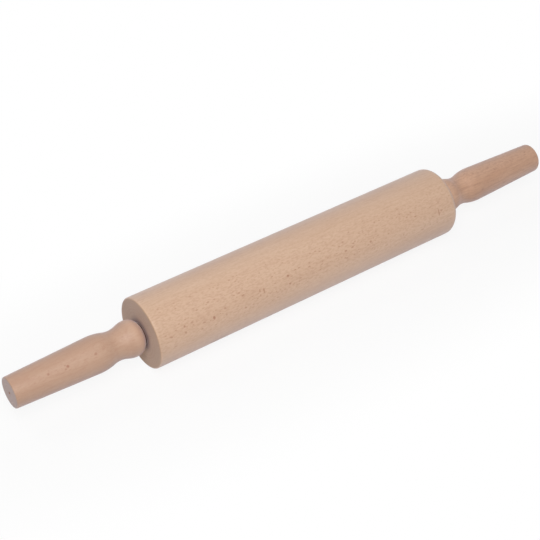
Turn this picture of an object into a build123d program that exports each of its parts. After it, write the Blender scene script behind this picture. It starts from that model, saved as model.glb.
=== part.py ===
from build123d import *
import os
from math import atan2, cos, sin

# Rolling pin whose wooden barrel turns on a steel rod between two fixed turned handles.
# Millimetres. X runs along the pin, +Z is up, and the origin is the middle of the barrel.

# Barrel
barrel_length = 250.0
barrel_dia = 50.0
barrel_edge_left = 1.3
barrel_edge_right = 4.0

# Handle outline, from the barrel side outwards
face_to_crown = 7.0
collar_drop = 4.7
collar_rise = 2.2
crown_to_neck = 12.0
neck_dia = 20.8
hollow_radius = 16.2
neck_to_swell = 14.9
swell_rise = 2.2
swell_to_tip = 59.1
tip_drop = 2.0
tip_edge = 0.8
centre_mark_dia = 2.2
centre_mark_depth = 1.4

# Steel rod, with a shoulder and a threaded stud at each end
rod_dia = 8.0
shoulder_step = 1.0
stud_length = 18.0
stud_chamfer = 0.8

# Plastic bush in each end of the barrel
bush_wall = 2.0
bush_length = 20.0
bush_chamfer = 0.6
flange_step = 1.5
flange_thickness = 2.0

# Thrust washer between each bush and its handle
washer_thickness = 0.8
washer_width = 3.0

# Brass insert in each handle
insert_wall = 3.0
insert_length = 20.0
insert_chamfer = 0.6

# Clearances
running_clearance = 0.05
end_float = 0.2
bore_clearance = 1.0
cut_overrun = 1.0

# Sizes that follow from the ones above
end_gap = washer_thickness + end_float
half_barrel = barrel_length / 2
handle_start = half_barrel + end_gap
neck_radius = neck_dia / 2
collar_radius = neck_radius + collar_rise
swell_radius = neck_radius + swell_rise
tip_radius = swell_radius - tip_drop
neck_at = face_to_crown + crown_to_neck
swell_at = neck_at + neck_to_swell
handle_length = swell_at + swell_to_tip
rod_radius = rod_dia / 2
stud_radius = rod_radius - shoulder_step
journal_radius = rod_radius + running_clearance
sleeve_radius = rod_radius + bush_wall
flange_radius = sleeve_radius + flange_step
insert_radius = stud_radius + insert_wall


def bar(radius, start, end):
    """Round bar on the X axis from start to end."""
    length = end - start
    upright = Cylinder(radius, length, align=(Align.CENTER, Align.CENTER, Align.MIN))
    return Pos(start, 0, 0) * Rot(0, 90, 0) * upright


def end_circle(solid, which):
    """Outer edge of the solid at its low (0) or high (-1) end along X."""
    at_end = solid.edges().filter_by(GeomType.CIRCLE).group_by(Axis.X)[which]
    return at_end.sort_by(SortBy.RADIUS)[-1]


def bend_point(crown_at, crown_radius, crown_arc):
    """Point where the arc over a crown runs into the hollow arc through the neck."""
    share = crown_arc / (crown_arc + hollow_radius)
    return (crown_at + (neck_at - crown_at) * share, crown_radius - (crown_radius - neck_radius) * share)


def crown_arc_radius(run, drop):
    """Radius of the arc over a crown that runs on into the hollow arc at the neck.

    Two tangent arcs, both level at their outer ends, have radii that add up to
    (run squared plus drop squared) over twice the drop.
    """
    return (run**2 + drop**2) / (2 * drop) - hollow_radius


def turned_handle():
    """One handle, outwards along +X from its collar face at the origin."""
    collar_arc = crown_arc_radius(crown_to_neck, collar_rise)
    swell_arc = crown_arc_radius(neck_to_swell, swell_rise)
    taper = atan2(tip_drop, swell_to_tip)

    collar_foot = (0, collar_radius - collar_drop)
    collar_crown = (face_to_crown, collar_radius)
    collar_bend = bend_point(face_to_crown, collar_radius, collar_arc)
    neck = (neck_at, neck_radius)
    swell_bend = bend_point(swell_at, swell_radius, swell_arc)
    taper_start = (swell_at + swell_arc * sin(taper), swell_radius - swell_arc * (1 - cos(taper)))
    tip = (handle_length, tip_radius)

    face = Line((0, 0), collar_foot)
    shoulder = TangentArc(collar_crown, collar_foot, tangent=(-1, 0))
    collar = TangentArc(collar_crown, collar_bend, tangent=(1, 0))
    hollow_in = TangentArc(collar_bend, neck, tangent=collar % 1)
    hollow_out = TangentArc(neck, swell_bend, tangent=(1, 0))
    swell = TangentArc(swell_bend, taper_start, tangent=hollow_out % 1)
    grip = Line(taper_start, tip)
    end = Line(tip, (handle_length, 0))
    axis_line = Line((handle_length, 0), (0, 0))
    outline = make_face([face, shoulder, collar, hollow_in, hollow_out, swell, grip, end, axis_line])
    blank = revolve(outline, Axis.X, 360)
    blank = fillet(end_circle(blank, -1), tip_edge)

    bore = bar(insert_radius, -cut_overrun, insert_length)
    mark = Cone(0, centre_mark_dia / 2, centre_mark_depth, align=(Align.CENTER, Align.CENTER, Align.MAX))
    mark = Pos(handle_length, 0, 0) * Rot(0, 90, 0) * mark
    return blank - bore - mark


def threaded_insert():
    """Brass sleeve that fills the handle's bore and takes the rod's stud."""
    sleeve = bar(insert_radius, 0, insert_length)
    sleeve = chamfer(end_circle(sleeve, -1), insert_chamfer)
    return sleeve - bar(stud_radius, -cut_overrun, insert_length + cut_overrun)


def thrust_washer():
    """Flat ring against the handle's collar face, which is at the origin."""
    disc = bar(rod_radius + washer_width, -washer_thickness, 0)
    return disc - bar(journal_radius, -washer_thickness - cut_overrun, cut_overrun)


def flanged_bush():
    """Bush with its flange flush with the barrel's end face, which is at the origin."""
    sleeve = bar(sleeve_radius, -bush_length, 0)
    sleeve = chamfer(end_circle(sleeve, 0), bush_chamfer)
    flange = bar(flange_radius, -flange_thickness, 0)
    return sleeve + flange - bar(journal_radius, -bush_length - cut_overrun, cut_overrun)


def axle_rod():
    """Rod with shoulders against the two inserts and a stud beyond each."""
    stud_end = handle_start + stud_length
    stud = bar(stud_radius, -stud_end, stud_end)
    stud = chamfer([end_circle(stud, 0), end_circle(stud, -1)], stud_chamfer)
    return stud + bar(rod_radius, -handle_start, handle_start)


def barrel():
    """Wooden cylinder with its through bore and a stepped seat for each bush."""
    blank = bar(barrel_dia / 2, -half_barrel, half_barrel)
    blank = fillet(end_circle(blank, 0), barrel_edge_left)
    blank = fillet(end_circle(blank, -1), barrel_edge_right)
    blank -= bar(rod_radius + bore_clearance, -half_barrel, half_barrel)
    for facing in (Rot(0, 0, 0), Rot(0, 0, 180)):
        seat = bar(sleeve_radius, half_barrel - bush_length, half_barrel + cut_overrun)
        seat += bar(flange_radius, half_barrel - flange_thickness, half_barrel + cut_overrun)
        blank -= facing * seat
    return blank


os.makedirs("parts", exist_ok=True)

export_step(barrel(), "parts/barrel.step")
export_step(axle_rod(), "parts/axle_rod.step")

# The left end is the right end turned half round about Z
for side, facing in (("right", Rot(0, 0, 0)), ("left", Rot(0, 0, 180))):
    at_barrel_end = facing * Pos(half_barrel, 0, 0)
    at_handle = facing * Pos(handle_start, 0, 0)
    export_step(at_barrel_end * flanged_bush(), f"parts/{side}_bush.step")
    export_step(at_handle * thrust_washer(), f"parts/{side}_washer.step")
    export_step(at_handle * threaded_insert(), f"parts/{side}_insert.step")
    export_step(at_handle * turned_handle(), f"parts/{side}_handle.step")
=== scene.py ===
from dataclasses import dataclass
from math import asin, atan2, cos, degrees, pi, radians, sin, tan
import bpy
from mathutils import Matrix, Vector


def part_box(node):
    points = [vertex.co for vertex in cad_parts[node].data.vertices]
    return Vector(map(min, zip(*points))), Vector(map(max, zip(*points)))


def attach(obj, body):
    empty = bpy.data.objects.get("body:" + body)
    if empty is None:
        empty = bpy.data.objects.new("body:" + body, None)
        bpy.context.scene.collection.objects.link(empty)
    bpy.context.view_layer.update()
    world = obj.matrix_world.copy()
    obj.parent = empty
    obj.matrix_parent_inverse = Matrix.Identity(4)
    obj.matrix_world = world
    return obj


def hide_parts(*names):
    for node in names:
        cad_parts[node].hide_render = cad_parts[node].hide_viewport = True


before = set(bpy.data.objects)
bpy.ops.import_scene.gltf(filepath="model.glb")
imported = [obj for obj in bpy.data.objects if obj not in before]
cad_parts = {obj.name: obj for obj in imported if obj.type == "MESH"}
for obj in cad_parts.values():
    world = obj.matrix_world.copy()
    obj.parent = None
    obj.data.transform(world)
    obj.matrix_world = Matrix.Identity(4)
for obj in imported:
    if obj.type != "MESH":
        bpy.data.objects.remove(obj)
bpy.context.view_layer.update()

from types import SimpleNamespace

import bpy
import numpy as np
from mathutils import Vector

MM = 0.001

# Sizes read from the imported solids
barrel_low, barrel_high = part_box("barrel")
handle_low, handle_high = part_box("right_handle")
bush_low, bush_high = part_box("right_bush")
insert_low, insert_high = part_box("right_insert")
half_barrel = (barrel_high.x - barrel_low.x) / 2
handle_start = handle_low.x
handle_length = handle_high.x - handle_low.x
bush_length = bush_high.x - bush_low.x
insert_length = insert_high.x - insert_low.x

# Barrel sizes
barrel_radius = 25.0 * MM
barrel_edge_left = 1.3 * MM
barrel_edge_right = 4.0 * MM
barrel_bore_radius = 5.0 * MM
sleeve_radius = 6.0 * MM
flange_radius = 7.5 * MM
flange_thickness = 2.0 * MM

# Handle outline, from the barrel side outwards
insert_radius = 6.0 * MM
neck_radius = 10.4 * MM
face_to_crown = 7.0 * MM
collar_drop = 4.7 * MM
collar_rise = 2.2 * MM
crown_to_neck = 12.0 * MM
hollow_radius = 16.2 * MM
neck_to_swell = 14.9 * MM
swell_rise = 2.2 * MM
swell_to_tip = 59.1 * MM
tip_drop = 2.0 * MM
tip_edge = 0.8 * MM
centre_mark_radius = 1.1 * MM
centre_mark_depth = 1.4 * MM

# Fineness of the turned surfaces: sides round the axis, lengths of straight steps, points on each arc
barrel_sides = 256
handle_sides = 192
outline_step = 1.2 * MM
bore_step = 5.0 * MM
centre_mark_step = 0.3 * MM
collar_front_points = 16
crown_points = 24
tip_points = 9
left_edge_points = 14
right_edge_points = 18
sharp_angle = radians(32)

# Edges rounded by this or less count as fully worn
full_wear_radius = 1.6 * MM

# The photograph's camera: its direction, its distance and where the pin lies in its view
photo_side = 540
focal_pixels = 1345.7
view_azimuth = radians(-35.434)
view_elevation = radians(39.323)
camera_distance = 924.4 * MM
pin_right_of_centre = 18.46 * MM
pin_above_centre = 4.86 * MM


# Outlines, as rows of (distance along X, radius)

def arc(centre, radius, start, end, count):
    """Points on a circle, at even angles from start to end in degrees: 0 is along X and 90 outwards."""
    angle = np.radians(np.linspace(start, end, count))
    return np.c_[centre[0] + radius * np.cos(angle), centre[1] + radius * np.sin(angle)]


def straight(start, end, step=outline_step):
    """Even points on the line from start to end, about one step apart."""
    start, end = np.array(start), np.array(end)
    count = max(2, int(np.ceil(np.linalg.norm(end - start) / step)) + 1)
    return start + np.linspace(0, 1, count)[:, None] * (end - start)


def joined(*stretches):
    """The stretches end to end, with each shared point once."""
    points = np.vstack(stretches)
    apart = np.linalg.norm(np.diff(points, axis=0), axis=1) > 1e-7
    return points[np.r_[True, apart]]


def stepped(*corners):
    """Straight stretches from each corner to the next."""
    return joined(*[straight(here, there) for here, there in zip(corners, corners[1:])])


def mirrored(outline):
    """The same outline at the left end, run the other way so that its faces still point outwards."""
    return (outline * (-1, 1))[::-1]


def level_arc(run, drop, next_radius=0.0):
    """Radius and turn in degrees of an arc that starts level, on a curve that falls by drop over run.

    Two tangent arcs that are level at their outer ends have radii that add up to
    (run squared + drop squared) / (2 drop), and both turn by the arcsine of run over that sum. An arc
    with no next one has the whole sum as its radius.
    """
    both = (run**2 + drop**2) / (2 * drop)
    return both - next_radius, degrees(asin(run / both))


def handle_outline():
    """Outline of the right handle, from the bottom of its bore round the outside to its centre mark.

    The outside is one arc up to the collar's crown, a crown arc, one hollow arc through the neck, the
    swell's crown arc, a straight taper and the tip's small rounding, each tangent to the next.
    """
    neck_at = face_to_crown + crown_to_neck
    swell_at = neck_at + neck_to_swell
    collar_radius = neck_radius + collar_rise
    swell_radius = neck_radius + swell_rise
    tip_radius = swell_radius - tip_drop
    foot_radius = collar_radius - collar_drop
    taper = atan2(tip_drop, swell_to_tip)
    slope = degrees(taper)

    front_arc, front_turn = level_arc(face_to_crown, collar_drop)
    collar_arc, collar_turn = level_arc(crown_to_neck, collar_rise, hollow_radius)
    swell_arc, swell_turn = level_arc(neck_to_swell, swell_rise, hollow_radius)
    front_centre = (face_to_crown, collar_radius - front_arc)
    collar_centre = (face_to_crown, collar_radius - collar_arc)
    hollow_centre = (neck_at, neck_radius + hollow_radius)
    swell_centre = (swell_at, swell_radius - swell_arc)
    tip_centre = (handle_length - tip_edge, tip_radius - tip_edge * (1 - tan(taper / 2)))

    bore_corners = (insert_length, 0), (insert_length, insert_radius), (0, insert_radius)
    bore = stepped(*bore_corners, (0, foot_radius))
    front = arc(front_centre, front_arc, 90 + front_turn, 90, collar_front_points)
    collar = arc(collar_centre, collar_arc, 90, 90 - collar_turn, crown_points)
    neck_in = arc(hollow_centre, hollow_radius, 270 - collar_turn, 270, crown_points)
    neck_out = arc(hollow_centre, hollow_radius, 270, 270 + swell_turn, crown_points)
    swell = arc(swell_centre, swell_arc, 90 + swell_turn, 90 - slope, crown_points)
    tip = arc(tip_centre, tip_edge, 90 - slope, 0, tip_points)
    grip = straight(swell[-1], tip[0])
    face = straight(tip[-1], (handle_length, centre_mark_radius))
    mark = straight(face[-1], (handle_length - centre_mark_depth, 0), centre_mark_step)
    outline = joined(bore, front, collar, neck_in, neck_out, swell, grip, tip, face, mark)
    return outline + (handle_start, 0)


def bush_seat():
    """Stepped seat for the right bush, from the barrel's end face inwards."""
    step_in = half_barrel - flange_thickness
    bottom = half_barrel - bush_length
    flange_corners = (half_barrel, flange_radius), (step_in, flange_radius)
    sleeve_corners = (step_in, sleeve_radius), (bottom, sleeve_radius)
    return stepped(*flange_corners, *sleeve_corners, (bottom, barrel_bore_radius))


def barrel_outline():
    """Closed outline of the barrel: outside with two rounded edges, end faces, stepped seats and bore."""
    left_centre = (barrel_edge_left - half_barrel, barrel_radius - barrel_edge_left)
    right_centre = (half_barrel - barrel_edge_right, barrel_radius - barrel_edge_right)
    bore_end = half_barrel - bush_length
    return joined(
        straight((-half_barrel, flange_radius), (-half_barrel, left_centre[1])),
        arc(left_centre, barrel_edge_left, 180, 90, left_edge_points),
        straight((left_centre[0], barrel_radius), (right_centre[0], barrel_radius)),
        arc(right_centre, barrel_edge_right, 90, 0, right_edge_points),
        straight((half_barrel, right_centre[1]), (half_barrel, flange_radius)),
        bush_seat(),
        straight((bore_end, barrel_bore_radius), (-bore_end, barrel_bore_radius), bore_step),
        mirrored(bush_seat()),
    )[:-1]


# Turned surfaces

def turned(name, outline, sides, closed=False):
    """A body of revolution about X: outline point (x, r) becomes the ring (x, r cos a, r sin a).

    Neighbouring rings are joined by quads. An open outline starts and ends on the axis, where one
    vertex closes it by a fan, and a closed outline's last ring joins its first.
    """
    rings = outline if closed else outline[1:-1]
    count = len(rings)
    angle = np.arange(sides) * 2 * pi / sides
    along = np.repeat(rings[:, :1], sides, axis=1)
    radius = rings[:, 1:]
    points = np.stack([along, radius * np.cos(angle), radius * np.sin(angle)], -1).reshape(-1, 3)

    side = np.arange(sides)
    beside = (side + 1) % sides
    ring = np.arange(count if closed else count - 1)[:, None]
    here = ring * sides
    after = (ring + 1) % count * sides
    quads = np.stack([here + side, here + beside, after + beside, after + side], -1).reshape(-1, 4)
    faces = quads.tolist()
    if not closed:
        first, last = len(points), len(points) + 1
        points = np.vstack([points, np.c_[outline[[0, -1], 0], np.zeros((2, 2))]])
        last_ring = (count - 1) * sides
        faces += np.stack([np.full(sides, first), beside, side], -1).tolist()
        faces += np.stack([last_ring + side, last_ring + beside, np.full(sides, last)], -1).tolist()

    mesh = bpy.data.meshes.new(name)
    mesh.from_pydata(points.tolist(), [], faces)
    mesh.shade_smooth()
    mesh.set_sharp_from_angle(angle=sharp_angle)
    piece = bpy.data.objects.new(name, mesh)
    bpy.context.scene.collection.objects.link(piece)
    return piece


def mark_rings(piece, outline, closed=False):
    """Stores two values on every vertex, the same all round each ring.

    end_grain is how far the surface faces along X: 1 on an end face, 0 on the side. edge_wear is how
    tightly the outline bends outwards there: the turn from one stretch to the next over their mean
    length, so 1 over the radius of the rounding, as a share of the bend that counts as full wear.
    """
    ahead = np.roll(outline, -1, axis=0) - outline
    behind = outline - np.roll(outline, 1, axis=0)
    if not closed:
        ahead[-1], behind[0] = behind[-1], ahead[0]
    length_ahead = np.linalg.norm(ahead, axis=1)
    length_behind = np.linalg.norm(behind, axis=1)
    ahead /= length_ahead[:, None]
    behind /= length_behind[:, None]
    facing = np.minimum(np.abs(ahead[:, 1]), np.abs(behind[:, 1]))
    turn = behind[:, 1] * ahead[:, 0] - behind[:, 0] * ahead[:, 1]
    bend = np.clip(turn * 2 / (length_ahead + length_behind) * full_wear_radius, 0, 1)
    for name, ring_values in (("end_grain", facing), ("edge_wear", bend)):
        inner = ring_values if closed else ring_values[1:-1]
        sides = (len(piece.data.vertices) - (0 if closed else 2)) // len(inner)
        values = np.repeat(inner, sides)
        if not closed:
            values = np.r_[values, ring_values[[0, -1]]]
        store = piece.data.attributes.new(name, "FLOAT", "POINT")
        store.data.foreach_set("value", values.astype(np.float32))


# Finishes

class Finish:
    """The nodes of one material, or of the world. Each call adds one and gives back its output."""

    def __init__(self, owner):
        self.owner = owner
        owner.use_nodes = True
        self.tree = owner.node_tree
        self.tree.nodes.clear()

    def node(self, kind, inputs=None, **settings):
        made = self.tree.nodes.new("ShaderNode" + kind)
        for key, value in settings.items():
            setattr(made, key, value)
        for socket, value in (inputs or {}).items():
            if isinstance(value, bpy.types.NodeSocket):
                self.tree.links.new(value, made.inputs[socket])
            else:
                made.inputs[socket].default_value = value
        return made

    def math(self, operation, first, second=0.0, third=0.0):
        return self.node("Math", {0: first, 1: second, 2: third}, operation=operation).outputs[0]

    def times(self, first, *others):
        for other in others:
            first = self.math("MULTIPLY", first, other)
        return first

    def vector(self, operation, first, second=(0, 0, 0), third=(0, 0, 0)):
        made = self.node("VectorMath", {0: first, 1: second, 2: third}, operation=operation)
        return made.outputs["Value" if operation in ("LENGTH", "DOT_PRODUCT") else "Vector"]

    def place(self):
        return self.node("TexCoord").outputs["Object"]

    def join(self, x=0.0, y=0.0, z=0.0):
        return self.node("CombineXYZ", {0: x, 1: y, 2: z}).outputs[0]

    def split(self, vector):
        return self.node("SeparateXYZ", {0: vector}).outputs

    def noise(self, vector, scale=1.0, detail=2.0, rough=0.5, output="Fac"):
        inputs = {"Vector": vector, "Scale": scale, "Detail": detail, "Roughness": rough}
        return self.node("TexNoise", inputs).outputs[output]

    def stretched_noise(self, vector, waves, detail=2.0, rough=0.5):
        """Noise with its own number of waves per unit along each axis."""
        return self.noise(self.vector("MULTIPLY", vector, waves), 1.0, detail, rough)

    def line_noise(self, value, scale=1.0, detail=2.0):
        inputs = {"W": value, "Scale": scale, "Detail": detail}
        return self.node("TexNoise", inputs, noise_dimensions="1D").outputs["Fac"]

    def fade(self, value, low, high, to_low=0.0, to_high=1.0):
        inputs = {0: value, 1: low, 2: high, 3: to_low, 4: to_high}
        return self.node("MapRange", inputs, interpolation_type="SMOOTHSTEP").outputs[0]

    def blend(self, share, first, second):
        return self.node("Mix", {0: share, 6: first, 7: second}, data_type="RGBA").outputs[2]

    def attribute(self, name):
        return self.node("Attribute", attribute_name=name).outputs["Fac"]

    def bump(self, height, distance):
        return self.node("Bump", {"Height": height, "Distance": distance, "Strength": 1.0}).outputs[0]

    def surface(self, inputs):
        """Closes the material with a Principled shader that has these inputs."""
        shader = self.node("BsdfPrincipled", inputs).outputs[0]
        self.node("OutputMaterial", {"Surface": shader})
        return self.owner

    def seen_plainly(self):
        """1 for rays from the camera, straight or by way of gloss or glass, and 0 for all other light."""
        rays = self.node("LightPath").outputs
        seen = self.math("MAXIMUM", rays["Is Camera Ray"], rays["Is Glossy Ray"])
        return self.math("MAXIMUM", seen, rays["Is Transmission Ray"])


def new_finish(name):
    return Finish(bpy.data.materials.new(name))


# Beech. Its own lengths are in millimetres, and waves are counted per millimetre. Where a feature is
# read from noise, its edges are the noise levels at which it sets in and is whole.

stray_waves = (0.012, 0.03, 0.03)
stray_breadth = 5.0
flat_sawn_cosines = (0.86, 0.98)
ring_width = 2.6
ring_width_waves = 0.16
ring_width_change = 2.4
late_wood_sharpness = 3.0
patch_waves = (0.010, 0.07, 0.07)
patch_edges = (0.32, 0.68)
ribbon_waves = (0.05, 0.8, 0.8)
ribbon_edges = (0.42, 0.75)
ripple_waves = (0.42, 1.0, 1.0)
ripple_edges = (0.40, 0.68)
fibre_waves = (0.35, 6.0, 6.0)
fibre_edges = (0.45, 0.8)
flake_waves = (0.16, 0.4, 1.0)
flake_edges = (0.55, 0.75)
lathe_ring_waves = 0.9
lathe_ring_edges = (0.40, 0.64)
sanding_waves = 3.0

# Rays stand in cells of (way round the pith, along the fibre, outwards), with their least and most size.
# They crowd together in wide patches, where they also grow, and each has a solid core.
broad_ray_cell = (2.6, 8.0, 30.0)
broad_ray_size = (0.03, 0.20)
fine_ray_cell = (1.3, 3.7, 14.0)
fine_ray_size = (0.20, 0.36)
crowd_waves = (0.035, 0.10, 0.0)
crowd_growth = 1.2
ray_growth_edges = (0.2, 1.0)
ray_core = 0.45
faintest_ray = 0.3

# Separate flecks: how ragged their edge is, and where it starts and ends as a share of their size
raggedness = 0.8
ragged_waves = 1.1
fleck_edges = (0.3, 1.1)

# How far each feature turns the wood to the colour of its rays. Ripples and rays are weaker where the
# surface crosses the growth rings.
late_wood_depth = 0.09
ring_tone_depth = 0.05
ripple_depth_across = 0.13
ripple_depth_more = 0.11
fibre_depth = 0.10
flake_depth = 0.10
fine_ray_depth = 0.44
broad_ray_depth = 0.52
ray_share_across = 0.14
deep_tone_less = 0.6
lathe_ring_depth = 0.26

# Wear, and painted light and shade round the collar
end_tone_share = 0.5
# Dark brown of painted shade: round the collar on the barrel's ends and in the gap at the collar. It also
# darkens each grip's end round its centre mark.
dark_brown = (0.15, 0.043, 0.012, 1)
# Pale colour of painted light on the collar's front, the side that faces the barrel
painted_light_pale = (0.80, 0.56, 0.42, 1)
pale_front_reach = (0.7 * face_to_crown, 1.6 * face_to_crown)
pale_front_share = 0.22
# Painted shade in the gap: how far from the collar's face it reaches, and its share
gap_shade_reach = (0.05 * MM, 0.7 * MM)
gap_shade_share = 0.9
pale_edge_share = 0.10

# The feel of the surface: the whole relief, what stands up and lies deep in it, and how rough it is
relief = 0.03 * MM
fibre_height = 0.5
sanding_height = 0.30
ray_hollow = 0.5
fleck_hollow = 0.6
side_roughness = 0.44
end_roughness = 0.66
fibre_roughness = 0.14
edge_polish = 0.08

# The pale, slightly cool veil of raw sanded wood at its rims
sanded_sheen = {"Sheen Weight": 0.34, "Sheen Roughness": 0.55, "Sheen Tint": (0.76, 0.80, 1.0, 1.0)}


@dataclass
class Board:
    """Where in the tree a piece was cut from, and what its wood and its surface have been through.

    pale and deep are the wood's two tones, ray the colour of rays and flecks, and end the tone that
    an end face leans to. pith_way is the angle about X of the way from the pith out to the piece, and
    pith_distance how many millimetres that is. slopes tilt the fibre off X, and shift moves the piece
    along it, so that no two pieces share a pattern. streak is how dark wavy streaks are, and figure how
    strong rays and ripples are. middle_darkening is the radius where an end face is darkest round its
    middle, the radius where that ends, and its depth: painted shade round the collar on the barrel, and
    a darker centre mark on a grip. flecks are the separate dark ones, placed one by one at fleck_radius.
    has_collar says that the piece has a collar, with painted light on its front that faces the barrel
    and painted shade in the gap.
    """

    pale: tuple
    deep: tuple
    ray: tuple
    end: tuple
    pith_way: float
    pith_distance: float
    slopes: tuple
    shift: float
    streak: float
    figure: float
    middle_darkening: tuple
    flecks: list
    fleck_radius: float
    has_collar: bool = True


def place_in_tree(f, board):
    """Where each point of the piece lies in its tree, in millimetres.

    unbent is (along the fibre, outwards, across) in a board with dead straight fibre, and wood the same
    with the slow stray of real fibre. outward is the way from the pith, from_pith its length, and
    round_pith the way round the pith at the piece's distance.
    """
    inputs = {
        "Vector": f.place(),
        "Location": (board.shift, board.pith_distance, 0.0),
        "Rotation": (-board.pith_way, *board.slopes),
        "Scale": (1 / MM, 1 / MM, 1 / MM),
    }
    unbent = f.node("Mapping", inputs).outputs[0]
    stray = f.noise(f.vector("MULTIPLY", unbent, stray_waves), output="Color")
    stray = f.vector("SUBTRACT", stray, (0.5, 0.5, 0.5))
    wood = f.vector("MULTIPLY_ADD", stray, (0.0, stray_breadth, stray_breadth), unbent)
    along, out, across = f.split(wood)
    outward = f.join(0.0, out, across)
    return SimpleNamespace(
        unbent=unbent,
        wood=wood,
        along=along,
        outward=outward,
        from_pith=f.vector("LENGTH", outward),
        round_pith=f.times(f.math("ARCTAN2", across, out), board.pith_distance),
    )


def flat_sawn_share(f, board, tree):
    """1 where the surface lies along the growth rings and 0 where it crosses them.

    It is read off the cosine between the way out from the piece's axis and the way out from the pith.
    """
    side = f.vector("MULTIPLY_ADD", tree.unbent, (0.0, 1.0, 1.0), (0.0, -board.pith_distance, 0.0))
    lengths = f.times(f.vector("LENGTH", side), tree.from_pith)
    cosine = f.math("DIVIDE", f.vector("DOT_PRODUCT", side, tree.outward), lengths)
    return f.fade(f.math("ABSOLUTE", cosine), *flat_sawn_cosines)


def growth_rings(f, from_pith):
    """Steps of the distance from the pith, uneven in width: a late edge in each, and its own tone."""
    uneven = f.line_noise(from_pith, ring_width_waves)
    count = f.math("MULTIPLY_ADD", uneven, ring_width_change, f.math("DIVIDE", from_pith, ring_width))
    late = f.math("POWER", f.math("FRACT", count), late_wood_sharpness)
    tone = f.node("TexWhiteNoise", {"W": f.math("FLOOR", count)}, noise_dimensions="1D").outputs["Value"]
    return late, tone


def rays(f, tree, crowd, cell, size):
    """Thin spindles of that size, one to a cell, each with its own luck in size and darkness.

    They are long outwards, a few millimetres along the fibre and a fraction of one across, so they show
    as short dark flecks on flat-sawn wood and as fine lines on an end. Where crowd is high they grow.
    """
    spread = f.vector("DIVIDE", f.join(tree.round_pith, tree.along, tree.from_pith), cell)
    found = f.node("TexVoronoi", {"Vector": spread, "Scale": 1.0}).outputs
    luck = f.node("SeparateColor", {0: found["Color"]}).outputs
    growth = f.math("MULTIPLY_ADD", crowd, crowd_growth, f.math("ADD", luck[0], -crowd_growth / 2))
    grown = f.fade(growth, *ray_growth_edges, *size)
    lens = f.fade(f.math("DIVIDE", found["Distance"], grown), ray_core, 1.0, 1.0, 0.0)
    return f.times(lens, f.fade(luck[1], 0.0, 1.0, faintest_ray, 1.0))


def placed_flecks(f, flecks, radius):
    """How dark the separate flecks make the surface: each is a soft oval at its own place on the piece.

    A fleck is (mm along X, degrees above the level on the camera's side, mm long, mm round, depth). The
    point is first moved by up to raggedness, in millimetres, and each centre by half of that.
    """
    x, y, z = f.split(f.place())
    turn = f.math("ARCTAN2", z, f.times(y, -1.0))
    spot = f.join(f.math("DIVIDE", x, MM), f.times(turn, radius / MM), 0.0)
    ragged = f.noise(f.place(), ragged_waves / MM, output="Color")
    spot = f.vector("MULTIPLY_ADD", ragged, (raggedness, raggedness, 0.0), spot)
    darkest = 0.0
    for along, degrees_up, length, breadth, depth in flecks:
        centre = (along + raggedness / 2, radians(degrees_up) * radius / MM + raggedness / 2, 0.0)
        offset = f.vector("SUBTRACT", spot, centre)
        reach = f.vector("LENGTH", f.vector("DIVIDE", offset, (length / 2, breadth / 2, 1.0)))
        darkest = f.math("MAXIMUM", darkest, f.fade(reach, *fleck_edges, depth, 0.0))
    return darkest


def figured(f, board, tree, fibre, broad_rays, fine_rays, flecks):
    """The wood's colour: the pale tone turned deep in soft patches, then darkened feature by feature."""
    flat_sawn = flat_sawn_share(f, board, tree)
    late, ring_tone = growth_rings(f, tree.from_pith)
    patch = f.stretched_noise(tree.wood, patch_waves, detail=3.0, rough=0.55)
    ribbon = f.stretched_noise(tree.wood, ribbon_waves, detail=3.0, rough=0.6)
    ripple = f.stretched_noise(tree.wood, ripple_waves)
    flake = f.stretched_noise(f.join(tree.along, tree.from_pith, tree.round_pith), flake_waves)
    crossing = f.math("SUBTRACT", 1.0, flat_sawn)
    least_ripple, more_ripple = ripple_depth_across * board.figure, ripple_depth_more * board.figure
    ripple_depth = f.math("MULTIPLY_ADD", flat_sawn, more_ripple, least_ripple)
    ray_share = f.fade(flat_sawn, 0.0, 1.0, ray_share_across * board.figure, board.figure)

    deeper = f.times(f.fade(patch, *patch_edges), f.math("MULTIPLY_ADD", flat_sawn, -deep_tone_less, 1.0))
    colour = f.blend(deeper, board.pale, board.deep)
    for darker in (
        f.times(late, late_wood_depth),
        f.times(ring_tone, ring_tone_depth),
        f.fade(ribbon, *ribbon_edges, 0.0, board.streak),
        f.times(f.fade(ripple, *ripple_edges), ripple_depth),
        f.fade(fibre, *fibre_edges, 0.0, fibre_depth),
        f.times(f.fade(flake, *flake_edges, 0.0, flake_depth), crossing),
        f.times(fine_rays, fine_ray_depth, ray_share),
        f.times(broad_rays, broad_ray_depth, ray_share),
        flecks,
    ):
        colour = f.blend(darker, colour, board.ray)
    return colour


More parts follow.
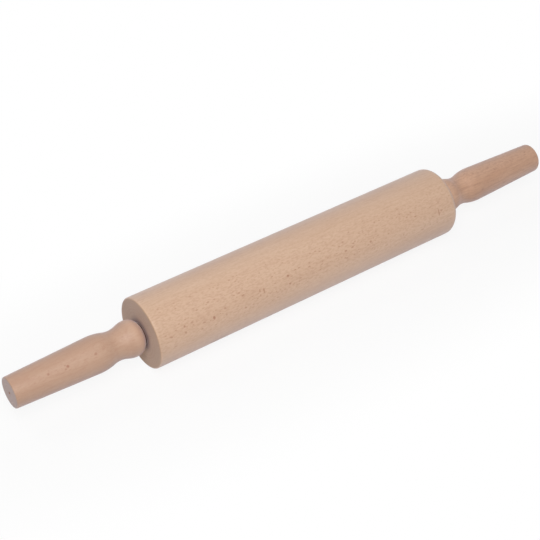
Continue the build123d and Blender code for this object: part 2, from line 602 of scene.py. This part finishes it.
def turned_used_and_shaded(f, board, colour, x, from_axis, end, worn):
    """The colour with what the lathe and use have left on it.

    End faces lean to their own tone, with rings from the lathe and with darkening round the middle that
    fades with the square of a smooth step: painted shade round the collar on the barrel, and a darker
    centre mark on a grip. A collar has painted light on its front that faces the barrel and painted
    shade in the gap, and rounded edges are a little paler.
    """
    darkest_radius, fade_end_radius, darkening_depth = board.middle_darkening
    colour = f.blend(f.fade(end, 0.5, 1.0, 0.0, end_tone_share), colour, board.end)
    lathe = f.line_noise(f.times(from_axis, 1 / MM), lathe_ring_waves)
    lathe = f.fade(lathe, *lathe_ring_edges, 0.0, lathe_ring_depth)
    colour = f.blend(f.times(lathe, end), colour, board.ray)
    # Darker round the middle of each end face: painted shade round the collar on the barrel, and a darker
    # centre mark on a grip
    middle = f.math("POWER", f.fade(from_axis, darkest_radius, fade_end_radius, 1.0, 0.0), 2.0)
    colour = f.blend(f.times(middle, f.fade(end, 0.2, 0.6, 0.0, darkening_depth)), colour, dark_brown)
    if board.has_collar:
        from_gap = f.math("ADD", f.math("ABSOLUTE", x), -handle_start)
        # Painted light on the collar's front, which faces the barrel
        colour = f.blend(f.fade(from_gap, *pale_front_reach, pale_front_share, 0.0), colour, painted_light_pale)
        # Painted shade on the collar next to the gap
        colour = f.blend(f.fade(from_gap, *gap_shade_reach, gap_shade_share, 0.0), colour, dark_brown)
    return f.blend(f.times(worn, pale_edge_share), colour, board.pale)


def beech(name, board):
    """Solid beech, cut from round a pith that lies outside the piece, and turned and sanded.

    The fibre runs along X and growth rings are steps of the distance from the pith. Fibres, rays,
    flecks and the lines of sanding round the piece also give it a relief of a few hundredths of a
    millimetre.
    """
    f = new_finish(name)
    x, y, z = f.split(f.place())
    from_axis = f.vector("LENGTH", f.join(0.0, y, z))
    end = f.attribute("end_grain")
    worn = f.attribute("edge_wear")
    tree = place_in_tree(f, board)
    fibre = f.stretched_noise(tree.wood, fibre_waves, rough=0.6)
    crowd = f.stretched_noise(f.join(tree.along, tree.round_pith), crowd_waves)
    broad_rays = rays(f, tree, crowd, broad_ray_cell, broad_ray_size)
    fine_rays = rays(f, tree, crowd, fine_ray_cell, fine_ray_size)
    flecks = placed_flecks(f, board.flecks, board.fleck_radius)

    colour = figured(f, board, tree, fibre, broad_rays, fine_rays, flecks)
    colour = turned_used_and_shaded(f, board, colour, x, from_axis, end, worn)

    sanding = f.line_noise(f.times(x, 1 / MM), sanding_waves, 3.0)
    height = f.math("MULTIPLY_ADD", fibre, fibre_height, f.times(sanding, sanding_height))
    height = f.math("MULTIPLY_ADD", broad_rays, -ray_hollow, height)
    height = f.math("MULTIPLY_ADD", flecks, -fleck_hollow, height)
    rough = f.fade(end, 0.4, 1.0, side_roughness, end_roughness)
    rough = f.math("MULTIPLY_ADD", fibre, fibre_roughness, rough)
    rough = f.math("MULTIPLY_ADD", worn, -edge_polish, rough)
    return f.surface(
        {"Base Color": colour, "Roughness": rough, "Normal": f.bump(height, relief), **sanded_sheen}
    )


# Finishes of the inner pieces

machined_relief = 0.01 * MM
moulded_relief = 0.02 * MM


def drawn_steel(name):
    """Drawn bar: fine lines along X round the bar, with faint darker patches of oil."""
    bright, oiled, line = (0.57, 0.57, 0.575, 1), (0.42, 0.41, 0.40, 1), (0.30, 0.30, 0.31, 1)
    f = new_finish(name)
    lines = f.stretched_noise(f.place(), (0.02 / MM, 4.0 / MM, 4.0 / MM), detail=4.0, rough=0.65)
    patch = f.stretched_noise(f.place(), (0.06 / MM, 0.2 / MM, 0.2 / MM), detail=3.0)
    colour = f.blend(f.fade(patch, 0.35, 0.7), bright, oiled)
    colour = f.blend(f.fade(lines, 0.4, 0.8, 0.0, 0.25), colour, line)
    rough = f.math("MULTIPLY_ADD", lines, 0.22, 0.20)
    normal = f.bump(lines, machined_relief)
    return f.surface({"Base Color": colour, "Metallic": 1.0, "Roughness": rough, "Normal": normal})


def turned_brass(name):
    """Brass faced on a lathe: fine rings round X, by the distance from the axis and along it."""
    bright, dull = (0.74, 0.55, 0.26, 1), (0.58, 0.40, 0.17, 1)
    f = new_finish(name)
    x, y, z = f.split(f.place())
    radius = f.vector("LENGTH", f.join(0.0, y, z))
    rings = f.line_noise(f.math("ADD", radius, x), 5.0 / MM, 3.0)
    patch = f.noise(f.place(), 0.35 / MM, 3.0)
    colour = f.blend(f.fade(patch, 0.35, 0.7), bright, dull)
    colour = f.blend(f.fade(rings, 0.45, 0.8, 0.0, 0.2), colour, dull)
    rough = f.math("MULTIPLY_ADD", rings, 0.2, 0.20)
    normal = f.bump(rings, machined_relief)
    return f.surface({"Base Color": colour, "Metallic": 1.0, "Roughness": rough, "Normal": normal})


def moulded(name, colour, darker):
    """Brown moulded plastic or pressed fibre, with a fine eggshell and faint flow marks."""
    f = new_finish(name)
    shell = f.noise(f.place(), 2.5 / MM, 3.0)
    flow = f.stretched_noise(f.place(), (0.08 / MM, 0.3 / MM, 0.3 / MM), detail=3.0)
    colour = f.blend(f.fade(flow, 0.35, 0.7), colour, darker)
    rough = f.math("MULTIPLY_ADD", shell, 0.18, 0.34)
    return f.surface({"Base Color": colour, "Roughness": rough, "Normal": f.bump(shell, moulded_relief)})


# Separate dark flecks, as (mm along X, degrees above the level, mm long, mm round, depth)
barrel_flecks = [
    (-105.0, 28.5, 1.7, 2.0, 0.62),
    (-105.3, 18.7, 1.8, 1.9, 0.62),
    (-103.2, 37.3, 1.6, 0.9, 0.40),
    (-93.2, 43.0, 3.0, 1.0, 0.50),
    (-88.4, 41.5, 3.2, 1.0, 0.35),
    (-83.2, 21.3, 2.4, 3.3, 0.82),
    (-80.7, 31.0, 2.0, 1.0, 0.42),
    (-74.0, 28.0, 1.9, 1.6, 0.48),
    (-74.0, 17.5, 1.9, 1.8, 0.36),
    (-65.3, 40.0, 3.0, 1.0, 0.50),
    (-61.2, 40.3, 2.8, 1.0, 0.55),
    (-59.0, 34.5, 3.2, 1.2, 0.62),
    (-59.2, 14.5, 2.2, 1.5, 0.60),
    (-55.3, 38.0, 2.2, 1.0, 0.40),
    (-46.2, 29.8, 1.5, 2.6, 0.66),
    (-46.4, 23.0, 1.4, 1.8, 0.44),
    (-43.2, 27.5, 1.5, 4.6, 0.66),
    (-22.9, 33.0, 2.2, 1.9, 0.85),
    (-22.9, 20.2, 2.2, 1.9, 0.72),
    (-16.4, 36.9, 2.6, 1.0, 0.55),
    (-13.2, 37.3, 2.4, 1.0, 0.45),
    (25.3, 31.0, 2.6, 1.4, 0.68),
    (31.0, 31.6, 2.6, 1.2, 0.50),
    (31.5, 19.5, 2.0, 1.8, 0.40),
    (34.6, 38.8, 2.2, 1.2, 0.52),
    (46.5, 27.7, 2.4, 1.9, 0.68),
    (49.2, 31.3, 1.2, 1.2, 0.48),
    (59.0, 10.4, 2.8, 1.2, 0.42),
    (74.6, 14.3, 1.8, 1.5, 0.46),
    (107.8, 25.0, 1.0, 7.0, 0.85),
    (109.5, 40.5, 2.4, 1.0, 0.45),
]
left_flecks = [
    (-205.0, 40.5, 2.2, 1.8, 0.22),
    (-195.2, 48.5, 2.2, 2.2, 0.58),
    (-194.0, 57.5, 1.2, 1.6, 0.30),
    (-183.9, 40.5, 2.0, 1.2, 0.50),
    (-183.4, 51.5, 1.8, 1.2, 0.42),
    (-181.9, 46.0, 2.4, 2.4, 0.74),
    (-176.3, 56.8, 3.0, 1.2, 0.24),
    (-174.0, 21.0, 8.0, 1.4, 0.16),
    (-162.4, 46.0, 2.4, 2.4, 0.56),
    (-156.5, 49.5, 3.2, 1.8, 0.20),
    (-141.0, 61.5, 2.0, 2.4, 0.16),
    (-135.8, 36.5, 3.6, 1.6, 0.18),
]
right_flecks = [
    (146.0, 39.0, 14.0, 2.0, 0.16),
    (160.0, 12.0, 3.0, 2.6, 0.28),
    (157.0, 37.0, 12.0, 1.4, 0.18),
    (190.0, 46.0, 16.0, 1.6, 0.16),
    (202.0, 8.5, 3.0, 2.4, 0.20),
]

grip_fleck_radius = 12.0 * MM
# Darker middle of a grip's end round its centre mark: radius where darkest, where it ends, and depth
centre_mark_darkening = (0.6 * MM, 2.6 * MM, 0.60)

barrel_board = Board(
    pale=(0.650, 0.450, 0.314, 1),
    deep=(0.609, 0.409, 0.276, 1),
    ray=(0.37, 0.155, 0.08, 1),
    end=(0.330, 0.185, 0.040, 1),
    pith_way=radians(144),
    pith_distance=62.0,
    slopes=(radians(0.6), radians(-0.9)),
    shift=0.0,
    streak=0.10,
    figure=1.0,
    # Painted shade on the barrel's ends round the collar, darkest at the bush flange
    middle_darkening=(flange_radius, 15.5 * MM, 0.92),
    flecks=barrel_flecks,
    fleck_radius=barrel_radius,
    has_collar=False,
)
left_board = Board(
    pale=(0.513, 0.327, 0.225, 1),
    deep=(0.466, 0.287, 0.193, 1),
    ray=(0.33, 0.125, 0.065, 1),
    end=(0.365, 0.270, 0.185, 1),
    pith_way=radians(120),
    pith_distance=48.0,
    slopes=(radians(-0.8), radians(1.4)),
    shift=400.0,
    streak=0.10,
    figure=0.5,
    middle_darkening=centre_mark_darkening,
    flecks=left_flecks,
    fleck_radius=grip_fleck_radius,
)
right_board = Board(
    pale=(0.588, 0.358, 0.238, 1),
    deep=(0.513, 0.293, 0.183, 1),
    ray=(0.25, 0.11, 0.065, 1),
    end=(0.40, 0.28, 0.18, 1),
    pith_way=radians(70),
    pith_distance=40.0,
    slopes=(radians(1.2), radians(1.0)),
    shift=900.0,
    streak=0.24,
    figure=0.8,
    middle_darkening=centre_mark_darkening,
    flecks=right_flecks,
    fleck_radius=grip_fleck_radius,
)


# Pieces

def turned_piece(name, outline, sides, node, body, finish, closed=False):
    """A wooden piece turned to that outline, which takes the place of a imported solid."""
    piece = turned(name, outline, sides, closed)
    mark_rings(piece, outline, closed)
    piece.data.materials.append(finish)
    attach(piece, body)
    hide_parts(node)


barrel_beech = beech("beech_of_barrel", barrel_board)
left_beech = beech("beech_of_left_grip", left_board)
right_beech = beech("beech_of_right_grip", right_board)

right_outline = handle_outline()
turned_piece("barrel_turned", barrel_outline(), barrel_sides, "barrel", "barrel", barrel_beech, closed=True)
turned_piece("right_grip", right_outline, handle_sides, "right_handle", "handles", right_beech)
turned_piece("left_grip", mirrored(right_outline), handle_sides, "left_handle", "handles", left_beech)

inner_finishes = {
    "axle_rod": drawn_steel("drawn_steel"),
    "washer": moulded("washer_fibre", (0.20, 0.09, 0.06, 1), (0.16, 0.07, 0.045, 1)),
    "bush": moulded("bush_plastic", (0.16, 0.10, 0.07, 1), (0.13, 0.08, 0.055, 1)),
    "insert": turned_brass("insert_brass"),
}
for node_name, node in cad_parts.items():
    for word, finish in inner_finishes.items():
        if node_name.endswith(word):
            node.material_slots[0].material = finish


# Stage: floor, light and camera

white = (1.0, 1.0, 1.0, 1.0)
pale_floor = (0.80, 0.80, 0.80, 1.0)
floor_radius = 4.0
floor_sides = 64
whiteness_near_pin = 0.88
whitening = (70.0 * MM, 140.0 * MM)
lamp_side = 0.9


def floor():
    """A flat disc at the pin's lowest point.

    It is lit as a pale floor. To the camera and in reflections it is mostly plain white, and wholly so
    away from the pin, by the distance from the pin's axis with a quarter of the way along it.
    """
    rim = np.linspace(0, 2 * pi, floor_sides, endpoint=False)
    lowest = np.full(floor_sides, -barrel_radius)
    points = np.c_[floor_radius * np.cos(rim), floor_radius * np.sin(rim), lowest]
    mesh = bpy.data.meshes.new("floor")
    mesh.from_pydata(points.tolist(), [], [list(range(floor_sides))])
    sheet = bpy.data.objects.new("floor", mesh)
    bpy.context.scene.collection.objects.link(sheet)
    f = new_finish("floor_white")
    away = f.vector("LENGTH", f.vector("MULTIPLY", f.place(), (0.25, 1.0, 1.0)))
    share = f.times(f.seen_plainly(), f.fade(away, *whitening, whiteness_near_pin, 1.0))
    lit = f.node("BsdfDiffuse", {"Color": pale_floor}).outputs[0]
    plain = f.node("Emission", {"Color": white, "Strength": 1.0}).outputs[0]
    shown = f.node("MixShader", {0: share, 1: lit, 2: plain}).outputs[0]
    f.node("OutputMaterial", {"Surface": shown})
    mesh.materials.append(f.owner)


def surround():
    """A white surround: plain white to the camera and in reflections, and no light on the pin."""
    f = Finish(bpy.data.worlds.new("studio"))
    back = f.node("Background", {"Color": white, "Strength": f.seen_plainly()}).outputs[0]
    f.node("OutputWorld", {"Surface": back})
    bpy.context.scene.world = f.owner


def softbox(name, place, power):
    """A large square lamp at place that faces the middle of the pin."""
    lamp = bpy.data.lights.new(name, "AREA")
    lamp.shape = "SQUARE"
    lamp.size = lamp_side
    lamp.energy = power
    box = bpy.data.objects.new(name, lamp)
    box.location = place
    box.rotation_mode = "QUATERNION"
    box.rotation_quaternion = (-Vector(place)).to_track_quat("-Z", "Y")
    bpy.context.scene.collection.objects.link(box)


def photo_camera():
    """The photograph's camera, level and with no shift: it looks along its own axis past the pin."""
    az, el = view_azimuth, view_elevation
    back = Vector((sin(az) * cos(el), -cos(az) * cos(el), sin(el)))
    right = Vector((cos(az), sin(az), 0.0))
    up = back.cross(right)
    lens = bpy.data.cameras.new("photo_camera")
    lens.sensor_width = 36.0
    lens.lens = focal_pixels / photo_side * lens.sensor_width
    lens.clip_start = 0.01
    lens.clip_end = 20.0
    camera = bpy.data.objects.new("photo_camera", lens)
    camera.location = camera_distance * back - pin_right_of_centre * right - pin_above_centre * up
    camera.rotation_mode = "QUATERNION"
    camera.rotation_quaternion = (-back).to_track_quat("-Z", "Y")
    bpy.context.scene.collection.objects.link(camera)
    bpy.context.scene.camera = camera


floor()
surround()
softbox("key_light", (-0.55, -0.79, 1.15), 16.9)
softbox("top_light", (-0.22, -0.32, 1.45), 3.7)
softbox("front_light", (0.21, -1.21, 0.86), 2.0)
softbox("back_left_light", (-0.53, 0.92, 1.06), 4.8)
softbox("back_right_light", (0.53, 0.92, 1.06), 2.0)
photo_camera()
bpy.context.scene.view_settings.view_transform = "Standard"
